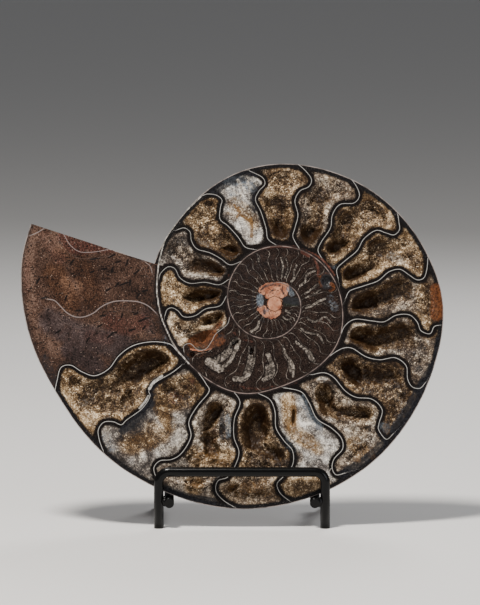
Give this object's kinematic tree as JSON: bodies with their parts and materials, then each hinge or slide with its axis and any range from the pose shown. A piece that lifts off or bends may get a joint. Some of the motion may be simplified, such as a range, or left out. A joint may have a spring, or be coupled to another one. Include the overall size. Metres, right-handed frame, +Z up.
{
  "type": "polished ammonite fossil half on a wire stand",
  "caption": "Cut and polished half of a coiled Cleoniceras ammonite with crystal-lined chambers, leaning back in a bent black wire stand.",
  "frame": {"origin": "middle of the whole object's box in X and Y, on the surface that the stand's feet rest on", "axes": "+Z up, -Y the way the polished cut face looks, +X to the right as seen from the front"},
  "size_m": [0.2072, 0.0712, 0.1763],
  "materials": {
    "fossil_stone": "polished",
    "calcite_crystals": "sugary crystals",
    "black_enamel": "gloss"
  },
  "bodies": {
    "root": {"ammonite_half": "fossil_stone", "crystals_01": "calcite_crystals", "crystals_02": "calcite_crystals", "crystals_03": "calcite_crystals", "crystals_04": "calcite_crystals", "crystals_06": "calcite_crystals", "crystals_07": "calcite_crystals", "crystals_08": "calcite_crystals", "crystals_09": "calcite_crystals", "crystals_10": "calcite_crystals", "crystals_11": "calcite_crystals", "crystals_12": "calcite_crystals", "crystals_13": "calcite_crystals", "crystals_15": "calcite_crystals", "crystals_16": "calcite_crystals", "crystals_17": "calcite_crystals", "crystals_18": "calcite_crystals", "stand_front_hoop": "black_enamel", "stand_back_hoop": "black_enamel", "stand_left_arm": "black_enamel", "stand_right_arm": "black_enamel"}
  },
  "joints": []
}
